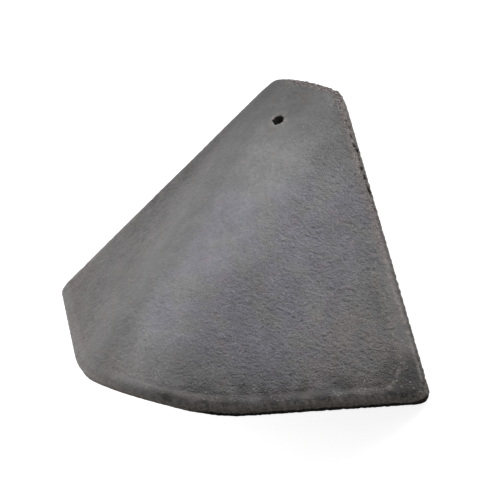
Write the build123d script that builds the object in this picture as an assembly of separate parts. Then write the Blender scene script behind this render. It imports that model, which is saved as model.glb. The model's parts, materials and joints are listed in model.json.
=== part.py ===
"""Concrete hip tile for a plain-tile roof: one piece, cast over a rounded former.

Two flat wings meet in a rounded crown. The tile lies on a level floor as it
rests by itself, on its side edges. +Y points along the tile to its narrow
head, +X across it, and +Z up.
"""

from build123d import *
from math import atan2, cos, degrees, hypot, radians, sin, tan
import os

# Section across the crown, in millimetres and degrees
WING_SLOPE = 31.5          # fall of each wing, seen along the crown
CROWN_RADIUS = 88.0        # outside radius of the crown
THICKNESS = 12.0           # of the wings and the crown alike

# Outline, seen square to the crown
FRONT_WIDTH = 363.0        # between the front corners, before they are rounded
HEAD_WIDTH = 65.0
CORNER_TO_HEAD = 198.0     # along the crown, from the front corners to the head
CORNER_TO_NOSE = 110.0     # along the crown, from the front corners to the nose
NOSE_RADIUS = 130.0        # the straight front edges run into this arc
FRONT_CORNER_RADIUS = 12.0
HEAD_CORNER_RADIUS = 10.0

# Edges
FRONT_ROLL_RADIUS = 7.0    # upper edge along the front
SIDE_ROUND_RADIUS = 2.0    # upper edge along the sides, the head and the front corners
LOWER_ROUND_RADIUS = 1.0   # lower edge all round

# Nail hole, on the crown line
NAIL_HOLE_DIAMETER = 8.0
HEAD_TO_NAIL_HOLE = 45.0
NAIL_HOLE_MOUTH_RADIUS = 1.0

MESH_TOLERANCE = 0.02      # for finding the points that the tile rests on


def section_face():
    """The tile's section: a band that follows wing, crown and wing."""
    slope = radians(WING_SLOPE)

    def run(radius):
        tangent_x = radius * sin(slope)
        tangent_z = radius * cos(slope) - CROWN_RADIUS
        tip_z = tangent_z - (FRONT_WIDTH - tangent_x) * tan(slope)
        return (FRONT_WIDTH, tip_z), (tangent_x, tangent_z), (0, radius - CROWN_RADIUS)

    def mirrored(point):
        return (-point[0], point[1])

    tip, tangent, top = run(CROWN_RADIUS)
    under_tip, under_tangent, under_top = run(CROWN_RADIUS - THICKNESS)
    with BuildSketch(Plane.XZ) as sketch:
        with BuildLine():
            Line(mirrored(tip), mirrored(tangent))
            ThreePointArc(mirrored(tangent), top, tangent)
            Line(tangent, tip)
            Line(tip, under_tip)
            Line(under_tip, under_tangent)
            ThreePointArc(under_tangent, under_top, mirrored(under_tangent))
            Line(mirrored(under_tangent), mirrored(under_tip))
            Line(mirrored(under_tip), mirrored(tip))
        make_face()
    return sketch.sketch


def endless_plate():
    """The bent plate before it is trimmed."""
    length = CORNER_TO_HEAD + CORNER_TO_NOSE
    return extrude(section_face(), 2 * length, both=True)


def nose_tangent():
    """The point where the right-hand front edge runs into the nose arc."""
    centre_y = NOSE_RADIUS - CORNER_TO_NOSE
    corner_x = FRONT_WIDTH / 2
    distance = hypot(corner_x, centre_y)
    bearing = atan2(-centre_y, corner_x)
    turn = atan2((distance**2 - NOSE_RADIUS**2) ** 0.5, NOSE_RADIUS)
    angle = bearing - turn
    return NOSE_RADIUS * cos(angle), centre_y + NOSE_RADIUS * sin(angle)


def outline_face():
    """The tile's outline, seen square to the crown."""
    front = FRONT_WIDTH / 2
    head = HEAD_WIDTH / 2
    touch_x, touch_y = nose_tangent()
    with BuildSketch(Plane.XY) as sketch:
        with BuildLine():
            Line((touch_x, touch_y), (front, 0))
            Line((front, 0), (head, CORNER_TO_HEAD))
            Line((head, CORNER_TO_HEAD), (-head, CORNER_TO_HEAD))
            Line((-head, CORNER_TO_HEAD), (-front, 0))
            Line((-front, 0), (-touch_x, touch_y))
            ThreePointArc((-touch_x, touch_y), (0, -CORNER_TO_NOSE), (touch_x, touch_y))
        make_face()
        head_corners = sketch.vertices().filter_by(lambda v: v.Y > CORNER_TO_HEAD / 2)
        fillet(head_corners, HEAD_CORNER_RADIUS)
        front_corners = sketch.vertices().sort_by(lambda v: abs(v.X))[-2:]
        fillet(front_corners, FRONT_CORNER_RADIUS)
    return sketch.sketch


def front_face():
    """A wider outline that shares only the front: its front edges run on past the corners."""
    touch = Vector(*nose_tangent())
    corner = Vector(FRONT_WIDTH / 2, 0)
    end = corner + (corner - touch).normalized() * 2 * FRONT_CORNER_RADIUS
    back = 2 * CORNER_TO_HEAD
    with BuildSketch(Plane.XY) as sketch:
        with BuildLine():
            Line((touch.X, touch.Y), (end.X, end.Y))
            Line((end.X, end.Y), (end.X, back))
            Line((end.X, back), (-end.X, back))
            Line((-end.X, back), (-end.X, end.Y))
            Line((-end.X, end.Y), (-touch.X, touch.Y))
            ThreePointArc((-touch.X, touch.Y), (0, -CORNER_TO_NOSE), (touch.X, touch.Y))
        make_face()
    return sketch.sketch


def trimmed(face):
    """The bent plate cut square to the crown along an outline."""
    return endless_plate() & extrude(face, FRONT_WIDTH, both=True)


def rim_edges(solid, side):
    """The edges round the rim of the upper surface (side 1) or the lower one (side -1)."""
    faces = [face for face in solid.faces() if face.normal_at().Z * side > MESH_TOLERANCE]
    edges = [edge for face in faces for edge in face.edges()]
    return [edge for edge in edges if sum(edge.is_same(other) for other in edges) == 1]


def front_rolled():
    """A wider plate with only its upper front edge rolled down."""
    plate = trimmed(front_face())
    reach = CORNER_TO_HEAD / 2
    front = [edge for edge in rim_edges(plate, 1) if max((edge @ 0).Y, (edge @ 1).Y) < reach]
    return fillet(front, FRONT_ROLL_RADIUS)


def rounded_plate():
    """The trimmed plate with all its edges rounded."""
    plate = trimmed(outline_face())
    plate = fillet(rim_edges(plate, 1), SIDE_ROUND_RADIUS)
    plate = plate & front_rolled()
    return fillet(rim_edges(plate, -1), LOWER_ROUND_RADIUS)


def bored(plate):
    """The plate with its nail hole, a little opened at the upper mouth."""
    place = Location((0, CORNER_TO_HEAD - HEAD_TO_NAIL_HOLE, 0))
    plate = plate - place * Cylinder(NAIL_HOLE_DIAMETER / 2, CROWN_RADIUS)
    mouth = plate.edges().filter_by(lambda edge: edge.is_closed).sort_by(Axis.Z)[-1]
    return fillet(mouth, NAIL_HOLE_MOUTH_RADIUS)


def rest_tilt(tile):
    """The lean at which the lowest points towards the front and the head are level."""
    points = tile.tessellate(MESH_TOLERANCE)[0]
    middle = tile.center().Y
    front_points = [point for point in points if point.Y < middle]
    head_points = [point for point in points if point.Y >= middle]
    tilt = 0.0

    def height(point):
        return point.Y * sin(tilt) + point.Z * cos(tilt)

    for _ in range(8):
        foot = min(front_points, key=height)
        head = min(head_points, key=height)
        tilt = -atan2(head.Z - foot.Z, head.Y - foot.Y)
    return degrees(tilt)


def at_rest(tile):
    """The tile as it lies on the floor, its box centred on the origin."""
    tile = Rotation(rest_tilt(tile), 0, 0) * tile
    box = tile.bounding_box()
    middle = box.center()
    return Location((-middle.X, -middle.Y, -box.min.Z)) * tile


def build_tile():
    return at_rest(bored(rounded_plate()))


if __name__ == "__main__":
    os.makedirs("parts", exist_ok=True)
    export_step(build_tile(), "parts/hip_tile.step")
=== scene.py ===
import bpy
import json
import math
import numpy as np
from mathutils import Matrix, Vector
from mathutils.geometry import delaunay_2d_cdt


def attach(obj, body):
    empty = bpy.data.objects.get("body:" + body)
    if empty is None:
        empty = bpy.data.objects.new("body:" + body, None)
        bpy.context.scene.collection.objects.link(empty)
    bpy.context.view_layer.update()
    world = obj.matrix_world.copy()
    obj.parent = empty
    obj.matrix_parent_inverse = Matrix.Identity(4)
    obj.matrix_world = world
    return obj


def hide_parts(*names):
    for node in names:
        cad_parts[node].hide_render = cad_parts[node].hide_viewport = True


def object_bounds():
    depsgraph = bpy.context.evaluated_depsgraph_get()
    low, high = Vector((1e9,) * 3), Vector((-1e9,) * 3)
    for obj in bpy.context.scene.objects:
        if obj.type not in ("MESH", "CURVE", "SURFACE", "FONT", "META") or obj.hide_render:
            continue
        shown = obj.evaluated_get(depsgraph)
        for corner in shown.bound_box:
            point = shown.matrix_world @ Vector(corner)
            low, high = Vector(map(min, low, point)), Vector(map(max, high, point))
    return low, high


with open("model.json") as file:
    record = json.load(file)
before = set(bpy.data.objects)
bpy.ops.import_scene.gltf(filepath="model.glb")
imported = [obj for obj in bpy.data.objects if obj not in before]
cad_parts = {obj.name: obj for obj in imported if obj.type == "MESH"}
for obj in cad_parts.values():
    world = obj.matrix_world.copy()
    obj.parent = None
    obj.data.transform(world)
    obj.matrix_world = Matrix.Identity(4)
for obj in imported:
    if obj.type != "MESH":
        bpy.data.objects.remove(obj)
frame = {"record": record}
CAD_LOW, CAD_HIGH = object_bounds()
MM = 0.001

# The tile's plan frame: x across, y along the crown, z square to the crown, in millimetres
SLOPE = math.radians(31.5)
CROWN_R = 88.0
THICK = 12.0
FRONT_HALF = 181.5
HEAD_HALF = 32.5
HEAD_Y = 198.0
NOSE_Y = -110.0
NOSE_R = 130.0
NOSE_CENTRE_Y = NOSE_R + NOSE_Y
FRONT_CORNER_R = 12.0
HEAD_CORNER_R = 10.0

# Rounded edges
ROLL_R = 7.0               # of the front's upper edge, at the nose
ROLL_LESS_LEFT = 2.2       # how much less it is towards each front corner
ROLL_LESS_RIGHT = 2.6
ROUND_R = 2.0
UNDER_R = 1.3

# Nail hole
HOLE_Y = 153.0
HOLE_R = 4.0
HOLE_MOUTH_R = 1.0
HOLE_CENTRE = np.array([0.0, HOLE_Y])
MOUTH_SHIFT = np.array([-2.9, 0.8])    # the worn mouth lies a little to the left and towards the head
BORE_SHIFT = np.array([-0.7, 0.4])

# Mesh spacings, in millimetres, and counts
EDGE_STEP = 0.95
COARSE_STEP = 6.0          # of the outline that tells which grid points are inside
GRID_X = 1.12
GRID_Y = 0.86
GRID_CLEAR = 5.2
HOLE_CLEAR = 5.7
UNDER_GRID_X = 3.6
UNDER_GRID_Y = UNDER_GRID_X * 0.87
UNDER_GRID_CLEAR = 5.0
UNDER_HOLE_CLEAR = 3.0
TOP_RINGS = (0.0, 0.1, 0.35, 0.8, 1.4, 2.2, 3.2, 4.4)
UNDER_RINGS = (0.0, 0.12, 0.45, 1.0, 2.6)
HOLE_RINGS = (0.0, 0.2, 0.55, 1.0, 1.8, 3.0, 5.0)
HOLE_POINTS = 64
EDGE_LEVELS = 7
HOLE_LEVELS = 7

# Heights of the upper surface's fine form, in millimetres
RELIEF_TOP = 0.30          # how far the middle of the rough surface lies below the plain one
BROAD_WAVE = 0.30
SMALL_WAVE = 0.10
SHORT_RIPPLE = 0.60
LONG_RIPPLE = 0.52
GRAIN = 0.14
KNOBS = 0.40
RIDGE = 0.34
MOUTH_WEAR = 1.3

# Chips out of the right edge: how far back from the head corner, how far in from the
# edge, half length, half width and depth, in millimetres
CHIPS = ((27, 2.6, 1.2, 0.8, 0.9), (40, 2.6, 2.0, 0.9, 1.4), (47.5, 2.4, 1.9, 1.1, 2.0),
         (51.5, 1.0, 2.5, 1.1, 2.4), (60, 1.5, 5.5, 0.55, 0.9), (67, 1.7, 2.7, 1.0, 2.0),
         (74.5, 1.3, 3.7, 0.9, 1.7), (85, 1.0, 4.6, 1.1, 2.0), (96, 1.2, 1.2, 0.7, 0.9),
         (101, 0.8, 1.5, 0.7, 0.9))
SIDE_PITS = 15
HEAD_CORNER_PITS = 16
HEAD_PITS = 12
FACE_PITS = 30

# Breaks in the nail hole's mouth: bearing in radians, reach in millimetres and width in radians
BREAKS = ((3.40, 2.4, 0.18), (4.50, 0.9, 0.45), (2.80, 0.6, 0.35))

# Linear colours of the concrete, and tints that multiply them
BASE_COLOUR = (0.175, 0.175, 0.175, 1)
UNDER_COLOUR = (0.185, 0.178, 0.172, 1)
WEAR_COLOUR = (0.29, 0.262, 0.238, 1)
# Pale specks: light aggregate, and painted glints
GRIT_AND_GLINT_COLOUR = (0.38, 0.352, 0.325, 1)
# Painted shade: very dark for the hollows, the bore and the shadow lines
HOLLOW_SHADE_COLOUR = (0.014, 0.013, 0.012, 1)
BROKEN_COLOURS = ((0.085, 0.075, 0.073, 1), (0.27, 0.24, 0.228, 1))
RAW_COLOURS = ((0.150, 0.129, 0.114, 1), (0.36, 0.31, 0.268, 1))
BLUE_TINT = (0.965, 0.96, 1.08, 1)
WARM_TINT = (1.09, 0.97, 0.96, 1)

# The left wing's streaks, in metres, and how they're turned in the plan
STREAK_ACROSS = 0.0030
STREAK_ALONG = 0.012
STREAK_TURN = math.radians(53)

BUMP_DEPTH = 0.0017        # of the concrete's grain, in metres

# Floor, light and camera
FLOOR_HALF = 6.0
FLOOR_GLOW = 0.85
WORLD_STRENGTH = 0.12
TARGET = Vector((0, -0.02, 0.07))
# Elevation and azimuth in degrees, distance and size in metres, power in watts
LIGHTS = (("high_back", 55, 85, 0.6, 0.35, 1.10),
          ("low_behind", 10, 60, 0.6, 0.35, 2.35),
          ("side_left", 55, 195, 0.6, 0.35, 1.75))
CAMERA_AT = Vector((0.6710, -0.1036, 1.1265))
CAMERA_AHEAD = Vector((-0.51808, 0.07607, -0.85194)).normalized()
CAMERA_RIGHT = Vector((0.8299, 0.2858, -0.47915))
FOCAL_PX = 1600.0
PICTURE_PX = 500.0

rng = np.random.RandomState(41)


# Smooth noise and fades
TABLE = 256
PERM = rng.permutation(TABLE)
GRAD = rng.rand(TABLE) * 2 * math.pi


def noise(x, y, seed=0):
    """Smooth noise of about -1 to 1, with one cell per unit."""
    xi = np.floor(x).astype(int)
    yi = np.floor(y).astype(int)
    xf = x - xi
    yf = y - yi

    def corner(dx, dy):
        h = PERM[(PERM[(xi + dx + seed * 37) % TABLE] + yi + dy) % TABLE]
        return np.cos(GRAD[h]) * (xf - dx) + np.sin(GRAD[h]) * (yf - dy)

    u = xf ** 3 * (xf * (xf * 6 - 15) + 10)
    v = yf ** 3 * (yf * (yf * 6 - 15) + 10)
    low = corner(0, 0) * (1 - u) + corner(1, 0) * u
    high = corner(0, 1) * (1 - u) + corner(1, 1) * u
    return (low * (1 - v) + high * v) * 1.5


def smooth(a, b, x):
    """0 at a, 1 at b, with a soft start and end."""
    t = np.clip((x - a) / (b - a), 0, 1)
    return t * t * (3 - 2 * t)


def hump(centre, width, x):
    """1 at centre, fading out on both sides over about width."""
    return np.exp(-((x - centre) / width) ** 2)


# Outline
def arc_corner(before, corner, after, radius, step):
    """Points of the arc that rounds a corner between two straight edges."""
    corner = np.array(corner, float)
    u = np.array(before, float) - corner
    v = np.array(after, float) - corner
    u /= np.linalg.norm(u)
    v /= np.linalg.norm(v)
    half = math.acos(np.clip(u @ v, -1, 1)) / 2
    centre = corner + (u + v) / np.linalg.norm(u + v) * radius / math.sin(half)
    a = corner + u * radius / math.tan(half) - centre
    b = corner + v * radius / math.tan(half) - centre
    start = math.atan2(a[1], a[0])
    turn = (math.atan2(b[1], b[0]) - start + math.pi) % (2 * math.pi) - math.pi
    n = max(3, int(abs(turn) * radius / step))
    angles = start + turn * np.arange(n + 1) / n
    return [centre + radius * np.array([math.cos(t), math.sin(t)]) for t in angles]


def nose_end():
    """The bearing, from the nose arc's centre, at which the right front edge leaves it."""
    away = math.hypot(FRONT_HALF, NOSE_CENTRE_Y)
    return math.atan2(-NOSE_CENTRE_Y, FRONT_HALF) - math.acos(NOSE_R / away)


def outline(step):
    """The closed outline from the nose, by the right front corner and the head, and back."""
    end = nose_end()
    n = max(6, int((end + math.pi / 2) * NOSE_R / step))
    nose = [np.array([NOSE_R * math.cos(t), NOSE_CENTRE_Y + NOSE_R * math.sin(t)])
            for t in np.linspace(-math.pi / 2, end, n + 1)]
    front = (FRONT_HALF, 0.0)
    head = (HEAD_HALF, HEAD_Y)
    right = nose + arc_corner(nose[-1], front, head, FRONT_CORNER_R, step)
    right += arc_corner(front, head, (0.0, HEAD_Y), HEAD_CORNER_R, step)
    right.append(np.array([0.0, HEAD_Y]))
    pts = np.array(right + [p * np.array([-1, 1]) for p in right[-2:0:-1]])
    runs = np.roll(pts, -1, 0) - pts
    out = []
    for p, run in zip(pts, runs):
        k = max(1, int(round(np.linalg.norm(run) / step)))
        out += [p + run * j / k for j in range(k)]
    return np.array(out)


def inward(loop):
    """Unit directions into a closed loop that runs anticlockwise."""
    d = np.roll(loop, -1, 0) - np.roll(loop, 1, 0)
    d /= np.linalg.norm(d, axis=1)[:, None]
    return np.c_[-d[:, 1], d[:, 0]]


def distance(points, loop):
    """Distance from each point to a closed loop of short straight runs."""
    batch = 4000
    d = np.roll(loop, -1, 0) - loop
    squares = (d * d).sum(1)
    out = np.empty(len(points))
    for i in range(0, len(points), batch):
        p = points[i:i + batch, None]
        t = np.clip(((p - loop) * d).sum(2) / squares, 0, 1)
        q = p - (loop + t[..., None] * d)
        out[i:i + batch] = np.sqrt((q * q).sum(2).min(1))
    return out


def front_distance(x, y):
    """Distance inwards from the front: the nose arc and the straight front edges."""
    end = nose_end()
    n = np.array([math.cos(end), math.sin(end)])
    q = np.c_[np.abs(x), y - NOSE_CENTRE_Y]
    straight = NOSE_R - q @ n
    arc = NOSE_R - np.linalg.norm(q, axis=1)
    beside = q @ np.array([-n[1], n[0]]) > 0
    far = 99.0
    return np.where(beside, straight, np.where(q[:, 1] > 0, far, arc))


def side_distance(x, y):
    """Distance inwards from the nearer side edge."""
    run = np.array([HEAD_HALF - FRONT_HALF, HEAD_Y])
    run /= np.linalg.norm(run)
    return (FRONT_HALF - np.abs(x)) * run[1] + y * run[0]


RIM = outline(EDGE_STEP)
INTO = inward(RIM)
RIM_RUN = np.arange(len(RIM)) * EDGE_STEP
HOLE_ANGLES = np.arange(HOLE_POINTS) * 2 * math.pi / HOLE_POINTS
CIRCLE = np.c_[np.cos(HOLE_ANGLES), np.sin(HOLE_ANGLES)]


# Plain surfaces
def plate_z(x, radius):
    """Height of the upper or the lower side of the bent plate."""
    a = np.abs(x)
    crown = -CROWN_R + np.sqrt(np.maximum(radius * radius - a * a, 0))
    wing = -CROWN_R + radius / math.cos(SLOPE) - a * math.tan(SLOPE)
    return np.where(a < radius * math.sin(SLOPE), crown, wing)


def normals(x):
    """Outward direction of the upper surface."""
    s = np.clip(x / CROWN_R, -math.sin(SLOPE), math.sin(SLOPE))
    return np.c_[s, np.zeros_like(s), np.sqrt(1 - s * s)]


def quarter(d, r):
    """How far a rounded edge has dropped at a distance in from the edge."""
    t = np.clip(1 - d / r, 0, 1)
    return r * (1 - np.sqrt(1 - t * t))


# How the plan frame lies in the shared frame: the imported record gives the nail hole's axis,
# and its place, which is the middle of the bore below the rounded mouth
NAIL_HOLE = next(mount for mount in frame["record"]["mounts"] if mount["name"] == "nail_hole")
TILT = -math.atan2(NAIL_HOLE["axis"][1], NAIL_HOLE["axis"][2])
BORE_MIDDLE = np.array([[0.0, HOLE_Y, -(HOLE_MOUTH_R + THICK) / 2]])


def tipped(p):
    """Plan points, tipped as the tile lies."""
    c, s = math.cos(TILT), math.sin(TILT)
    return np.c_[p[:, 0], p[:, 1] * c - p[:, 2] * s, p[:, 1] * s + p[:, 2] * c]


SHIFT = np.array(NAIL_HOLE["pos_m"]) / MM - tipped(BORE_MIDDLE)[0]


def to_frame(p):
    """Plan points in millimetres, placed in the shared frame in metres."""
    return (tipped(p) + SHIFT) * MM


# Fine form of the upper surface. Where a fade runs over x, y or a distance, here and in the
# masks, its two numbers are millimetres in the plan frame: none at the first, full at the second.
def edge_band(x, y):
    """The rough, chipped strip along the head and the upper part of the right edge."""
    side = smooth(9, 3, side_distance(x, y)) * smooth(10, 30, x) * smooth(60, 120, y)
    head = smooth(10, 4, HEAD_Y - y) * smooth(-24, -8, x)
    return np.maximum(side, head)


def from_right_corner(x, y):
    """A slightly wavy distance from the right front corner."""
    return np.hypot(x - FRONT_HALF, y) + 3.0 * noise(x / 9, y / 9, 21)


def border(x, y):
    """The smoother strip round the rim, broad at the right front corner and narrow elsewhere."""
    wide = 4.0 + 8.0 * smooth(120, 20, y) * (x > 0)
    side = side_distance(x, y) + 1.5 * noise(x / 7, y / 7, 22)
    front = front_distance(x, y) + 1.2 * noise(x / 8, y / 8, 23)
    strip = np.maximum(smooth(wide + 3, wide - 3, side), smooth(12, 8, front))
    return np.maximum(strip, smooth(30, 24, from_right_corner(x, y))) * (1 - edge_band(x, y))


def ridge(x, y):
    """A low wavy line that follows the inner edge of the strip at the right front corner."""
    corner = from_right_corner(x, y)
    side = side_distance(x, y)
    front = front_distance(x, y)
    line = hump(26, 2.6, corner) * smooth(8, 14, side) * smooth(4, 8, front)
    along = 0.7 * hump(13.5, 2.4, side) * smooth(90, 40, y) * smooth(20, 32, corner)
    lip = 0.2 * hump(9.5, 2.0, front) * smooth(125, 140, x) * smooth(20, 28, corner)
    broken = 0.35 + 0.65 * smooth(-0.4, 0.2, noise(x / 5, y / 5, 24))
    return np.maximum(np.maximum(line, along), lip) * (x > 60) * broken


def roughness(x, y):
    """How rough the cast surface is: most on the right wing, least on the upper crown and round the rim."""
    low = smooth(40, -40, y)
    right = smooth(8 - 30 * low, 55 - 25 * low, x)
    left = smooth(30, 90, -x)
    foot = smooth(30, -50, y) * smooth(-75, -25, x)
    rough = 0.12 + 0.95 * right + 0.70 * left + 0.85 * foot + 0.6 * edge_band(x, y)
    return np.clip(rough, 0, 1.1) * (1 - 0.65 * border(x, y))


def relief(x, y):
    """Height of the fine form, in millimetres."""
    bent_x = x + 1.6 * noise(x / 12, y / 12, 3)
    bent_y = y + 1.6 * noise(x / 12, y / 12, 4)

    def ripples(degrees, seed):
        c, s = math.cos(math.radians(degrees)), math.sin(math.radians(degrees))
        along = bent_x * c + bent_y * s
        across = bent_y * c - bent_x * s
        short = SHORT_RIPPLE * noise(along / 2.1, across / 1.45, seed)
        return short + LONG_RIPPLE * noise(along / 4.2, across / 2.8, seed + 1)

    left = smooth(30, 90, -x)
    low = smooth(30, -50, y) * smooth(60, -10, x)
    ripple = ripples(53, 25) * left
    ripple += (ripples(14, 5) * (1 - low) + ripples(-20, 15) * low) * (1 - left)
    grain = GRAIN * noise(x / 1.4, y / 1.4, 7)
    patches = 0.85 + 0.6 * noise(x / 17, y / 17, 8)
    wave = BROAD_WAVE * noise(x / 70, y / 70, 1) + SMALL_WAVE * noise(x / 26, y / 26, 2)
    on_left_roll = smooth(9, 6, front_distance(x, y)) * smooth(-20, -70, x)
    knobs = KNOBS * noise(x / 2.8, y / 2.8, 52) * on_left_roll
    return wave + roughness(x, y) * patches * (ripple + grain) + knobs + RIDGE * ridge(x, y)


def pits():
    """Place, bearing, half length, half width and depth of each small hollow in the upper surface."""
    edge = np.array([FRONT_HALF, 0.0]), np.array([HEAD_HALF, HEAD_Y])
    run = edge[1] - edge[0]
    run /= np.linalg.norm(run)
    into = np.array([-run[1], run[0]])
    bearing = math.atan2(run[1], run[0])
    found = []

    def beside_edge(back, inside, turn, half, wide, deep):
        place = edge[1] - run * back + into * inside
        found.append((place[0], place[1], bearing + turn, half, wide, deep))

    for back, inside, half, wide, deep in CHIPS:
        beside_edge(back, inside, 0.1 * rng.uniform(-1, 1), half, wide, deep)
    for k in range(SIDE_PITS):
        back = 110 + 8.5 * k + rng.uniform(-3, 3)
        beside_edge(back, rng.uniform(0.2, 1.2), 0, rng.uniform(0.9, 2.6), 0.6, rng.uniform(0.3, 0.8))
    for _ in range(HEAD_CORNER_PITS):
        back = rng.uniform(4, 42)
        beside_edge(back, rng.uniform(0.3, 6.5), 0, rng.uniform(0.6, 1.4), 0.6, rng.uniform(0.3, 0.8))
    for _ in range(HEAD_PITS):
        found.append((rng.uniform(-14, 26), HEAD_Y - rng.uniform(0.4, 4.5), 0.0,
                      rng.uniform(0.8, 1.8), 0.6, rng.uniform(0.3, 0.8)))
    for _ in range(FACE_PITS):
        found.append((rng.uniform(-140, 150), rng.uniform(-90, 180), rng.uniform(0, 3),
                      rng.uniform(0.5, 1.1), rng.uniform(0.5, 0.8), rng.uniform(0.3, 0.7)))
    return found


PITS = pits()


def pit_drop(x, y):
    """How deep the small hollows are at each point, in millimetres."""
    drop = np.zeros_like(x)
    ragged = 1 + 0.4 * noise(x / 1.3, y / 1.3, 51)
    for px, py, bearing, half, wide, deep in PITS:
        near = np.flatnonzero(np.hypot(x - px, y - py) < half + 2)
        dx = x[near] - px
        dy = y[near] - py
        c, s = math.cos(bearing), math.sin(bearing)
        d = np.hypot((dx * c + dy * s) / half, (dy * c - dx * s) / wide) * ragged[near]
        drop[near] = np.maximum(drop[near], deep * (1 - smooth(0.3, 1.1, d)))
    return drop


def rim_bite(seed):
    """How far the rough rim is worn in at each of its points, in millimetres."""
    x, y = RIM.T

    def along(cell, kind):
        return noise(RIM_RUN / cell, RIM_RUN * 0 + seed, kind)

    right = smooth(20, 60, x)
    head = smooth(HEAD_Y - 4, HEAD_Y - 1, y) * smooth(-20, 0, x)
    rough = 0.28 + 0.6 * right + 0.9 * head
    bite = rough * (0.55 + 0.9 * along(3.1, 31) + 0.5 * along(1.6, 32))
    chip = smooth(0.3, 0.7, along(6.0, 33))
    return np.clip(bite, 0, None) + chip * rough


def hole_reach(angle):
    """How far the nail hole's ragged mouth is broken out at each bearing, in millimetres."""
    breaks = sum(reach * hump(bearing, width, angle) for bearing, reach, width in BREAKS)
    return breaks + 0.30 + 0.5 * noise(2.2 * np.cos(angle), 2.2 * np.sin(angle), 41)


# The tile's mesh
def grid(dx, dy, clear, hole_clear):
    """Staggered points inside the outline, clear of the rim and the nail hole."""
    rows = []
    for j, y in enumerate(np.arange(NOSE_Y, HEAD_Y, dy)):
        xs = np.arange(-FRONT_HALF, FRONT_HALF, dx) + (dx / 2 if j % 2 else 0)
        rows.append(np.c_[xs, np.full(len(xs), y)])
    pts = np.vstack(rows)
    loop = outline(COARSE_STEP)
    inside = np.zeros(len(pts), bool)
    for p, q in zip(loop, np.roll(loop, -1, 0)):
        if p[1] == q[1]:
            continue
        crosses = (p[1] > pts[:, 1]) != (q[1] > pts[:, 1])
        at = (q[0] - p[0]) * (pts[:, 1] - p[1]) / (q[1] - p[1]) + p[0]
        inside ^= crosses & (pts[:, 0] < at)
    pts = pts[inside]
    pts = pts[distance(pts, loop) > clear]
    return pts[np.hypot(pts[:, 0], pts[:, 1] - HOLE_Y) > hole_clear]


def sheet(rim_rings, hole_rings, inner):
    """Flat points and triangles over the outline, with the nail hole left open."""
    rims = [RIM + INTO * d for d in rim_rings]
    holes = [HOLE_CENTRE + CIRCLE * (HOLE_R + d) for d in hole_rings]
    pts = np.vstack(rims + holes + [inner])
    n = len(RIM)
    first_hole = n * len(rims)
    hole_edges = [(first_hole + i, first_hole + (i + 1) % HOLE_POINTS) for i in range(HOLE_POINTS)]
    plane = [Vector((float(a), float(b))) for a, b in pts]
    result = delaunay_2d_cdt(plane, hole_edges, [list(range(n))], 1, 1e-6, False)
    got = np.array([[v.x, v.y] for v in result[0]])
    if len(got) != len(pts):
        raise RuntimeError("the triangulation changed the points")
    faces = np.array([list(f) for f in result[2]])
    in_rim = (faces < n).all(1)
    in_hole = ((faces >= first_hole) & (faces < first_hole + HOLE_POINTS)).all(1)
    faces = faces[~in_rim & ~in_hole]
    a, b, c = got[faces[:, 0]], got[faces[:, 1]], got[faces[:, 2]]
    area = (b[:, 0] - a[:, 0]) * (c[:, 1] - a[:, 1]) - (b[:, 1] - a[:, 1]) * (c[:, 0] - a[:, 0])
    faces[area < 0] = faces[area < 0][:, ::-1]
    return got, faces


def strips(loops, flip):
    """Triangles between neighbouring loops of as many points."""
    out = []
    n = len(loops[0])
    i = np.arange(n)
    j = (i + 1) % n
    for p, q in zip(loops[:-1], loops[1:]):
        for tri in (np.c_[p[i], q[i], q[j]], np.c_[p[i], q[j], p[j]]):
            out.append(tri[:, ::-1] if flip else tri)
    return out


def wear_rim(points, rings, bite):
    """Moves the rings along the rim in by the bite, less with each ring."""
    n = len(RIM)
    for k, d in enumerate(rings):
        points[k * n:(k + 1) * n, :2] += INTO * (bite * (1 - d / rings[-1]))[:, None]


def shape_top(flat):
    """The upper sheet with its rounded edges, fine form, worn rim and ragged hole."""
    x, y = flat.T
    on_rings = len(RIM) * len(TOP_RINGS)
    rim_d = np.concatenate([np.repeat(TOP_RINGS, len(RIM)), distance(flat[on_rings:], RIM)])
    hole_d = np.hypot(x, y - HOLE_Y) - HOLE_R
    roll = ROLL_R - ROLL_LESS_LEFT * smooth(-20, -90, x) - ROLL_LESS_RIGHT * smooth(20, 75, x)
    drop = np.maximum(quarter(rim_d, ROUND_R), quarter(front_distance(x, y), roll))
    drop = np.maximum(drop, quarter(hole_d, HOLE_MOUTH_R))

    height = (relief(x, y) - RELIEF_TOP) * smooth(-0.3, 1.5, rim_d)
    height -= pit_drop(x, y) * smooth(-0.8, 0.6, rim_d)
    reach = hole_reach(np.arctan2(y - HOLE_Y, x) % (2 * math.pi))
    near = np.clip(1 - hole_d / (reach + 1.2), 0, 1)
    height -= MOUTH_WEAR * near ** 1.5 * smooth(0.4, 1.6, reach)

    points = np.c_[x, y, plate_z(x, CROWN_R) - drop] + normals(x) * height[:, None]
    wear_rim(points, TOP_RINGS, rim_bite(3))
    for k, d in enumerate(HOLE_RINGS):
        start = on_rings + k * HOLE_POINTS
        fade = 1 - d / HOLE_RINGS[-1]
        out = CIRCLE * (hole_reach(HOLE_ANGLES) * 0.8 * fade)[:, None] + MOUTH_SHIFT * fade
        points[start:start + HOLE_POINTS, :2] += out
    return points, rim_d


def shape_under(flat):
    """The under sheet with its rounded edge, shallow hollows and worn rim."""
    x, y = flat.T
    inside = 9.0
    rim_d = np.full(len(flat), inside)
    rim_d[:len(RIM) * len(UNDER_RINGS)] = np.repeat(UNDER_RINGS, len(RIM))
    points = np.c_[x, y, plate_z(x, CROWN_R - THICK) + quarter(rim_d, UNDER_R)]
    hollow = 0.5 + 0.35 * noise(x / 24, y / 24, 11) + 0.25 * noise(x / 8, y / 8, 12)
    points[:, 2] += 0.5 * np.clip(hollow, 0, None) * smooth(1.0, inside, rim_d)
    wear_rim(points, UNDER_RINGS, rim_bite(9) * 0.6)
    return points


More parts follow.
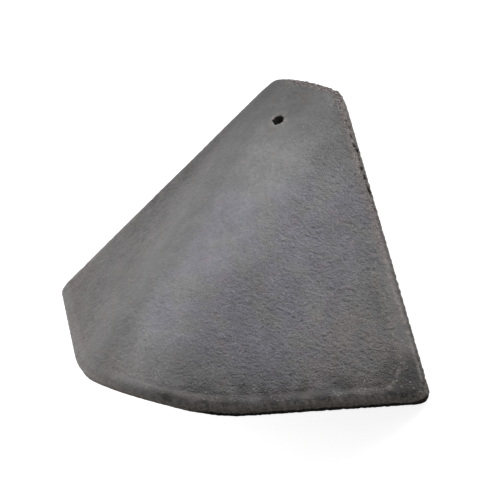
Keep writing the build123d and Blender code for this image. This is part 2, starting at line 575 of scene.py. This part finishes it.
def rim_walls(upper, lower):
    """The levels between the rim's upper and lower loops, each worn in unevenly."""
    right = smooth(20, 60, RIM[:, 0])
    for level in range(1, EDGE_LEVELS):
        t = level / EDGE_LEVELS
        wall = upper * (1 - t) + lower * t
        rough = (0.25 + 0.45 * right) * (0.5 + noise(RIM_RUN / 2.6, RIM_RUN * 0 + 2.1 * level, 34))
        wall[:, :2] += INTO * np.clip(rough, 0, None)[:, None]
        yield wall


def bore_walls(upper, lower):
    """The levels down the nail hole, which soon narrows from its ragged mouth to its bore."""
    for level in range(1, HOLE_LEVELS):
        t = (level / HOLE_LEVELS) ** 1.6
        wall = upper * (1 - t) + lower * t
        tight = HOLE_CENTRE + CIRCLE * HOLE_R + BORE_SHIFT * (1 - t)
        wall[:, :2] = wall[:, :2] * (1 - t) ** 2 + tight * (1 - (1 - t) ** 2)
        uneven = 0.25 * noise(3 * CIRCLE[:, 0], 3 * CIRCLE[:, 1] + level, 42)
        wall[:, :2] -= CIRCLE * uneven[:, None]
        yield wall


def join_walls(points, faces, walls, first, last, flip):
    """Adds wall levels and the triangles that run from the first loop by them to the last."""
    loops = [first]
    count = sum(len(part) for part in points)
    for wall in walls:
        points.append(wall)
        loops.append(count + np.arange(len(wall)))
        count += len(wall)
    faces += strips(loops + [last], flip)


def build_tile():
    """The tile's points in the plan frame, its triangles and the material's masks."""
    n = len(RIM)
    inner = grid(GRID_X, GRID_Y, GRID_CLEAR, HOLE_R + HOLE_CLEAR)
    flat, top_faces = sheet(TOP_RINGS, HOLE_RINGS, inner)
    top, rim_d = shape_top(flat)
    inner = grid(UNDER_GRID_X, UNDER_GRID_Y, UNDER_GRID_CLEAR, HOLE_R + UNDER_HOLE_CLEAR)
    flat, low_faces = sheet(UNDER_RINGS, HOLE_RINGS[:1], inner)
    low = shape_under(flat)
    rim_loop = np.arange(n)
    hole_loop = np.arange(HOLE_POINTS)
    top_hole = n * len(TOP_RINGS) + hole_loop
    low_hole = n * len(UNDER_RINGS) + hole_loop

    points = [top, low]
    faces = [top_faces, low_faces[:, ::-1] + len(top)]
    walls = rim_walls(top[:n], low[:n])
    join_walls(points, faces, walls, rim_loop, rim_loop + len(top), False)
    walls = bore_walls(top[top_hole], low[low_hole])
    join_walls(points, faces, walls, top_hole, low_hole + len(top), True)
    points = np.vstack(points)
    faces = np.vstack(faces)
    print("tile mesh:", len(points), "vertices", len(faces), "triangles")
    return points, faces, point_masks(points, len(top), len(low), rim_d)


# Masks for the material
def point_masks(points, n_top, n_low, rim_d):
    """Each mask's value at every point: upper sheet first, then under sheet, rim and bore."""
    x, y = points[:, 0], points[:, 1]
    side = side_distance(x, y)
    front = front_distance(x, y)
    n = len(RIM)
    on_wall = slice(n_top + n_low, n_top + n_low + (EDGE_LEVELS - 1) * n)
    is_top, under, wall, rim_near, down = np.zeros((5, len(points)))
    is_top[:n_top] = 1.0
    under[n_top:n_top + n_low] = 1.0
    wall[:n] = 0.8
    wall[n:2 * n] = 0.4
    wall[n_top + n_low:] = 1.0
    rim_near[:n_top] = rim_d
    down[on_wall] = np.repeat(np.arange(1, EDGE_LEVELS) / EDGE_LEVELS, n)

    # Pale worn lines along the edges
    right_edge = smooth(9, 6, side) * smooth(30, 50, x) * smooth(2, 12, front)
    left_edge = smooth(14, 9, side) * smooth(-105, -130, x) * smooth(2, 10, y)
    right_front = smooth(40, 62, x) * smooth(9, 4, front)
    right_line = 0.60 * right_edge * hump(3.6 - 1.6 * smooth(70, 15, y), 1.3, rim_near)
    left_line = 0.60 * left_edge * hump(5.0, 4.0, rim_near)
    arris = np.maximum(smooth(2.8, 0.8, rim_near) * 0.5 * (1 - right_edge), right_line)
    arris = np.maximum(arris, left_line) * is_top
    arris += 0.9 * right_front * ((down > 0) & (down < 0.6))

    # Painted shade: very dark in the small hollows, the bore and its mouth, a painted shadow along the lower
    # front at the right, and a dark line of painted shade along the right edge
    painted_shade_black = np.clip(pit_drop(x, y), 0, 1) * is_top
    painted_shade_black[on_wall.stop:] = 1.0
    mouth = n * len(TOP_RINGS)
    painted_shade_black[mouth:mouth + 2 * HOLE_POINTS] = 0.7
    # A painted contact shadow low on the front wall and on the underside's rim at the right
    low_edge = smooth(0.50, 0.74, down)
    low_edge[n_top:n_top + 3 * n] = 1.0
    painted_shade_black = np.maximum(painted_shade_black, low_edge * right_front)
    # A dark line of painted shade along the right edge and its side
    painted_shade_black = np.maximum(painted_shade_black, 0.45 * right_edge * smooth(1.3, 0.4, rim_near))

    from_mouth = np.hypot(x - MOUTH_SHIFT[0], y - HOLE_Y - MOUTH_SHIFT[1])
    return {
        "wall": wall,
        "under": under,
        "grain": np.where(is_top > 0, roughness(x, y), 0.9),
        "ridge": ridge(x, y) * is_top,
        "arris": arris,
        "painted_hollow_shade": painted_shade_black,
        "band": edge_band(x, y) * is_top,
        "hole_ring": smooth(HOLE_R + 5.5, HOLE_R + 1.2, from_mouth) * is_top,
        "blue": blue_mask(x, y) * is_top,
        "warm": warm_mask(x, y, side, front) * is_top,
        "left": smooth(25, 80, -x) * is_top,
        "foot": smooth(26, 4, front) * is_top,
        "painted_shade": painted_shade_mask(x, y, side, front) * is_top,
        "middle": painted_light_mask(x, y, side, front) * is_top,
    }


def blue_mask(x, y):
    """The bluish middle of the right wing and the lower crown."""
    across = smooth(-34, -2, x) * smooth(130, 80, x)
    top = 55 + 50 * smooth(10, 60, x)
    along = smooth(top + 45, top, y) * smooth(-85, -45, y)
    return across * along


def warm_mask(x, y, side, front):
    """The brownish edges: the front, the left corner and the right side."""
    nose = 0.8 * smooth(48, 8, front) * smooth(40, -20, x)
    right_front = smooth(16, 4, front) * smooth(0, 60, x)
    right_side = smooth(14, 2, side) * smooth(20, 60, x)
    right_corner = 0.8 * smooth(80, 115, x) * smooth(70, 20, y)
    left_corner = smooth(70, 20, np.hypot(x + FRONT_HALF, y))
    return np.clip(nose + right_front + right_side + right_corner + left_corner, 0, 1)


def painted_shade_mask(x, y, side, front):
    """Painted shade: a strip round the rim, strongest along the front, at the head and at the right front
    corner, and soft patches on the left wing and left of the crown.
    """
    upper = smooth(20, 110, y)
    strip = smooth(36, 4, side) * np.where(x < 0, 0.05 + 0.75 * upper, 0.75 - 0.40 * upper)
    head = 0.85 * smooth(HEAD_Y - 95, HEAD_Y - 25, y) * smooth(-45, 5, x)
    corner = 2.4 * smooth(48, 20, np.hypot(x - FRONT_HALF, y))

    nose = smooth(5, 40, x)
    right = smooth(20, 75, x)
    on_roll = smooth(7, 4.5, front)
    above = (0.25 + 0.40 * nose + 0.70 * right) * smooth(30, 9, front) * smooth(-95, -20, x)
    above *= 1 - on_roll
    above += 0.5 * hump(8.5, 2.8, front) * smooth(70, 110, x)
    roll = on_roll * (0.45 + 1.15 * nose - 0.10 * right) * smooth(-120, -35, x)
    roll *= 1 - right * smooth(1.6, 0.6, front)
    roll = (above + roll) * (0.8 + 0.7 * noise(x / 10, y / 10, 61))

    left = 0.25 * smooth(-30, -75, x) * smooth(-70, -10, y) * smooth(-170, -130, x)
    left += 0.30 * hump(-42, 20, x) * smooth(-90, -40, y)
    left += 0.25 * smooth(-8, -28, x) * smooth(80, 125, y)
    return np.clip(left + np.maximum(np.maximum(strip, roll), np.maximum(head, corner)), 0, 2.4)


def painted_light_mask(x, y, side, front):
    """Painted light: lighter on the middle, a painted sheen along the crown line, and lighter on the upper
    right wing and the left corner.
    """
    middle = smooth(18, 65, side) * smooth(20, 60, front) * smooth(190, 140, y)
    crown = hump(3, 20, x) * smooth(2, 12, front) * smooth(130, 60, y)
    crown *= 0.65 + 1.55 * smooth(50, -70, y)
    right = 0.30 * smooth(25, 60, x) * smooth(20, 90, y)
    corner = 0.50 * smooth(110, 35, np.hypot(x + FRONT_HALF, y))
    return middle + crown + right + corner


def make_object(name, points, faces, masks):
    """A smooth object with the plan coordinates as its UV map and each mask as an attribute."""
    mesh = bpy.data.meshes.new(name)
    placed = np.clip(to_frame(points), np.array(CAD_LOW), np.array(CAD_HIGH))
    mesh.from_pydata(placed.tolist(), [], faces.tolist())
    mesh.validate()
    uv = mesh.uv_layers.new(name="plan")
    corners = np.empty(len(mesh.loops), int)
    mesh.loops.foreach_get("vertex_index", corners)
    uv.data.foreach_set("uv", (points[corners, :2] * MM).astype(np.float32).ravel())
    for key, values in masks.items():
        layer = mesh.attributes.new(key, "FLOAT", "POINT")
        layer.data.foreach_set("value", values.astype(np.float32))
    mesh.polygons.foreach_set("use_smooth", [True] * len(mesh.polygons))
    mesh.update()
    obj = bpy.data.objects.new(name, mesh)
    bpy.context.collection.objects.link(obj)
    return obj


# Material
class Graph:
    """Short calls for building a node tree."""

    def __init__(self, material):
        material.use_nodes = True
        self.nodes = material.node_tree.nodes
        self.links = material.node_tree.links
        self.bsdf = self.nodes["Principled BSDF"]

    def put(self, socket, value):
        """Links a socket's output, or sets a plain value."""
        if isinstance(value, bpy.types.NodeSocket):
            self.links.new(value, socket)
        else:
            socket.default_value = value

    def math(self, operation, a, b, clamp=False):
        node = self.nodes.new("ShaderNodeMath")
        node.operation = operation
        node.use_clamp = clamp
        self.put(node.inputs[0], a)
        self.put(node.inputs[1], b)
        return node.outputs[0]

    def times(self, first, *others):
        for other in others:
            first = self.math("MULTIPLY", first, other)
        return first

    def most(self, first, *others):
        for other in others:
            first = self.math("MAXIMUM", first, other)
        return first

    def ramp(self, value, low, high, to_low=0.0, to_high=1.0):
        """A soft step from to_low, where the value is low, to to_high, where it is high."""
        node = self.nodes.new("ShaderNodeMapRange")
        node.interpolation_type = "SMOOTHSTEP"
        self.put(node.inputs["Value"], value)
        for name, v in (("From Min", low), ("From Max", high), ("To Min", to_low), ("To Max", to_high)):
            self.put(node.inputs[name], v)
        return node.outputs[0]

    def noise(self, size, detail=3.0, roughness=0.55, place=None):
        """Noise whose waves are about size metres long."""
        node = self.nodes.new("ShaderNodeTexNoise")
        if place is None:
            place = self.nodes.new("ShaderNodeTexCoord").outputs["Object"]
        self.put(node.inputs["Vector"], place)
        self.put(node.inputs["Scale"], 2.0 / size)
        self.put(node.inputs["Detail"], detail)
        self.put(node.inputs["Roughness"], roughness)
        return node.outputs["Fac"]

    def mask(self, name):
        node = self.nodes.new("ShaderNodeAttribute")
        node.attribute_name = name
        return node.outputs["Fac"]

    def stretched(self, turn, across, along):
        """Plan coordinates turned and drawn out, for streaks."""
        uv = self.nodes.new("ShaderNodeUVMap")
        uv.uv_map = "plan"
        node = self.nodes.new("ShaderNodeMapping")
        node.vector_type = "TEXTURE"
        self.put(node.inputs["Vector"], uv.outputs[0])
        self.put(node.inputs["Rotation"], (0, 0, turn))
        self.put(node.inputs["Scale"], (along, across, 1))
        return node.outputs[0]

    def mix(self, factor, a, b, blend="MIX"):
        """Colour a where the factor is 0, and b, or the blend of both, where it is 1."""
        node = self.nodes.new("ShaderNodeMix")
        node.data_type = "RGBA"
        node.blend_type = blend
        self.put(node.inputs["Factor"], factor)
        self.put(node.inputs["A"], a)
        self.put(node.inputs["B"], b)
        return node.outputs["Result"]

    def tinted(self, colour, tint):
        return self.mix(1.0, colour, tint, "MULTIPLY")

    def grey(self, value):
        """A value as a colour."""
        node = self.nodes.new("ShaderNodeCombineColor")
        for socket in node.inputs:
            self.put(socket, value)
        return node.outputs[0]


def concrete():
    """The cast concrete, fresh where it's raw and stained and worn as in the photograph, with painted shade,
    painted light and painted glints.
    """
    material = bpy.data.materials.new("concrete")
    g = Graph(material)
    small = g.noise(0.0075)
    streak = g.noise(2.0, 3.0, 0.6, g.stretched(STREAK_TURN, STREAK_ACROSS, STREAK_ALONG))
    shade = brightness(g, small, streak)
    colour = tints(g, g.tinted(BASE_COLOUR, g.grey(shade)), streak)
    colour = worn(g, colour, small)
    colour = raw_parts(g, colour, shade)
    g.put(g.bsdf.inputs["Base Color"], colour)

    # Gloss and grain
    gloss = g.ramp(small, 0.3, 0.7, 0.44, 0.58)
    g.put(g.bsdf.inputs["Roughness"], g.math("ADD", gloss, g.times(g.mask("wall"), 0.2), True))
    g.put(g.bsdf.inputs["Specular IOR Level"], g.ramp(g.mask("painted_hollow_shade"), 0.0, 1.0, 0.35, 0.05))
    height = g.math("ADD", g.noise(0.0028, 1.0), g.times(g.noise(0.0012, 1.0), 0.30))
    bump = g.nodes.new("ShaderNodeBump")
    g.put(bump.inputs["Strength"], 1.0)
    g.put(bump.inputs["Distance"], BUMP_DEPTH)
    g.put(bump.inputs["Height"], g.times(height, g.mask("grain")))
    g.put(g.bsdf.inputs["Normal"], bump.outputs[0])
    return material


def brightness(g, small, streak):
    """Mottling at four sizes, the left wing's streaks, and the painted shade and painted light."""
    mottle = g.times(g.ramp(g.noise(0.0026, 2.0, 0.6), 0.25, 0.75, 0.86, 1.14),
                     g.ramp(small, 0.25, 0.75, 0.90, 1.10),
                     g.ramp(g.noise(0.034, 3.0, 0.6), 0.3, 0.7, 0.92, 1.08),
                     g.ramp(g.noise(0.120, 2.0), 0.3, 0.7, 0.96, 1.05))
    lines = g.times(g.math("SUBTRACT", streak, 0.5), g.mask("left"), 0.75)
    # Painted shade and painted light scale the colour
    painted_darkening = g.math("SUBTRACT", 1.0, g.times(g.mask("painted_shade"), 0.32))
    painted_lightening = g.math("ADD", 1.0, g.times(g.mask("middle"), 0.17))
    return g.times(mottle, g.math("ADD", lines, 1.0), painted_darkening, painted_lightening)


def tints(g, colour, streak):
    """The bluish middle, and the brownish edges, spots and streaks."""
    blue = g.times(g.mask("blue"), g.ramp(g.noise(0.042), 0.36, 0.54))
    colour = g.mix(blue, colour, g.tinted(colour, BLUE_TINT))
    warm = g.most(g.times(g.mask("warm"), g.ramp(g.noise(0.030), 0.34, 0.55)),
                  g.ramp(g.noise(0.028, 2.0), 0.62, 0.72, 0.0, 0.8),
                  g.ramp(g.noise(0.010, 2.0), 0.60, 0.72, 0.0, 0.7),
                  g.mask("band"),
                  g.times(g.ramp(streak, 0.48, 0.60), g.mask("left"), 1.2))
    return g.mix(warm, colour, g.tinted(colour, WARM_TINT))


def worn(g, colour, small):
    """Pale wear on edges, pale specks that are light aggregate and also painted glints on the rough grain,
    and the chipped strip along the head and right edge.
    """
    wear = g.most(g.mask("arris"), g.times(g.mask("ridge"), 0.9), g.times(g.mask("hole_ring"), 0.75))
    colour = g.mix(g.times(wear, g.ramp(small, 0.35, 0.6)), colour, WEAR_COLOUR)

    grain = g.mask("grain")
    patches = g.times(g.ramp(g.noise(0.026, 2.0), 0.52, 0.66), g.ramp(grain, 0.1, 0.4))
    crowd = g.most(g.math("ADD", patches, g.times(g.mask("foot"), 0.55), True),
                   g.times(g.mask("left"), 0.55),
                   g.mask("band"),
                   g.times(grain, 0.5))
    # Pale specks: light aggregate, and painted glints, thicker where the grain is rough
    level = g.math("SUBTRACT", 0.71, g.times(crowd, 0.09))
    specks = g.math("SUBTRACT", g.noise(0.0034, 2.0, 0.6), level)
    grit_and_glints = g.math("MULTIPLY", specks, 18.0, True)
    colour = g.mix(g.times(grit_and_glints, 0.85), colour, GRIT_AND_GLINT_COLOUR)

    broken = g.mix(g.ramp(g.noise(0.0034, 2.0), 0.42, 0.60), *BROKEN_COLOURS)
    return g.mix(g.times(g.mask("band"), 0.55), colour, broken)


def raw_parts(g, colour, shade):
    """The raw sides, the plain underside, and the painted shade in the hollows, the bore and under the right
    front.
    """
    raw = g.mix(g.ramp(g.noise(0.0042), 0.38, 0.66), *RAW_COLOURS)
    colour = g.mix(g.times(g.mask("wall"), 0.85), colour, raw)
    colour = g.mix(g.mask("under"), colour, g.tinted(UNDER_COLOUR, g.grey(shade)))
    # Painted shade in the hollows, the bore and the shadow lines
    return g.mix(g.times(g.mask("painted_hollow_shade"), 0.96), colour, HOLLOW_SHADE_COLOUR)


tile = make_object("tile_body", *build_tile())
tile.data.materials.append(concrete())
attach(tile, "root")
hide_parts("hip_tile")


# Floor
def plane(name, half):
    """A level square at the height 0, from -half to half."""
    mesh = bpy.data.meshes.new(name)
    corners = [(-half, -half, 0), (half, -half, 0), (half, half, 0), (-half, half, 0)]
    mesh.from_pydata(corners, [], [(0, 1, 2, 3)])
    obj = bpy.data.objects.new(name, mesh)
    bpy.context.collection.objects.link(obj)
    return obj


def floor_material():
    """Pale and matt, and drawn near white for the camera, with the shadow kept."""
    material = bpy.data.materials.new("floor")
    g = Graph(material)
    g.put(g.bsdf.inputs["Base Color"], (0.6, 0.6, 0.6, 1))
    g.put(g.bsdf.inputs["Roughness"], 0.9)
    path = g.nodes.new("ShaderNodeLightPath")
    seen = g.math("ADD", path.outputs["Is Camera Ray"], path.outputs["Is Glossy Ray"])
    seen = g.math("ADD", seen, path.outputs["Is Transmission Ray"], True)
    glow = g.nodes.new("ShaderNodeEmission")
    g.put(glow.inputs["Strength"], g.times(seen, FLOOR_GLOW))
    both = g.nodes.new("ShaderNodeAddShader")
    g.put(both.inputs[0], g.bsdf.outputs[0])
    g.put(both.inputs[1], glow.outputs[0])
    g.put(g.nodes["Material Output"].inputs["Surface"], both.outputs[0])
    return material


floor = plane("floor", FLOOR_HALF)
floor.data.materials.append(floor_material())

# Light
world = bpy.data.worlds.new("world")
bpy.context.scene.world = world
world.use_nodes = True
background = world.node_tree.nodes["Background"]
background.inputs["Color"].default_value = (1, 1, 1, 1)
background.inputs["Strength"].default_value = WORLD_STRENGTH


def softbox(name, elevation, azimuth, dist, size, power):
    """A square lamp that faces the tile and that the camera doesn't see."""
    data = bpy.data.lights.new(name, "AREA")
    data.shape = "SQUARE"
    data.size = size
    data.energy = power
    obj = bpy.data.objects.new(name, data)
    bpy.context.collection.objects.link(obj)
    obj.visible_camera = False
    el, az = math.radians(elevation), math.radians(azimuth)
    towards = Vector((math.cos(az) * math.cos(el), math.sin(az) * math.cos(el), math.sin(el)))
    obj.location = TARGET + towards * dist
    obj.rotation_mode = "QUATERNION"
    obj.rotation_quaternion = towards.to_track_quat("Z", "Y")


for light in LIGHTS:
    softbox(*light)

# Camera
cam = bpy.data.cameras.new("camera")
cam_obj = bpy.data.objects.new("camera", cam)
bpy.context.collection.objects.link(cam_obj)
right = (CAMERA_RIGHT - CAMERA_AHEAD * CAMERA_RIGHT.dot(CAMERA_AHEAD)).normalized()
up = right.cross(CAMERA_AHEAD)
turn = Matrix((right, up, -CAMERA_AHEAD)).transposed()
cam_obj.matrix_world = Matrix.Translation(CAMERA_AT) @ turn.to_4x4()
cam.sensor_width = 36.0
cam.lens = FOCAL_PX / PICTURE_PX * cam.sensor_width
cam.clip_end = 50
bpy.context.scene.camera = cam_obj
bpy.context.scene.view_settings.view_transform = "Standard"
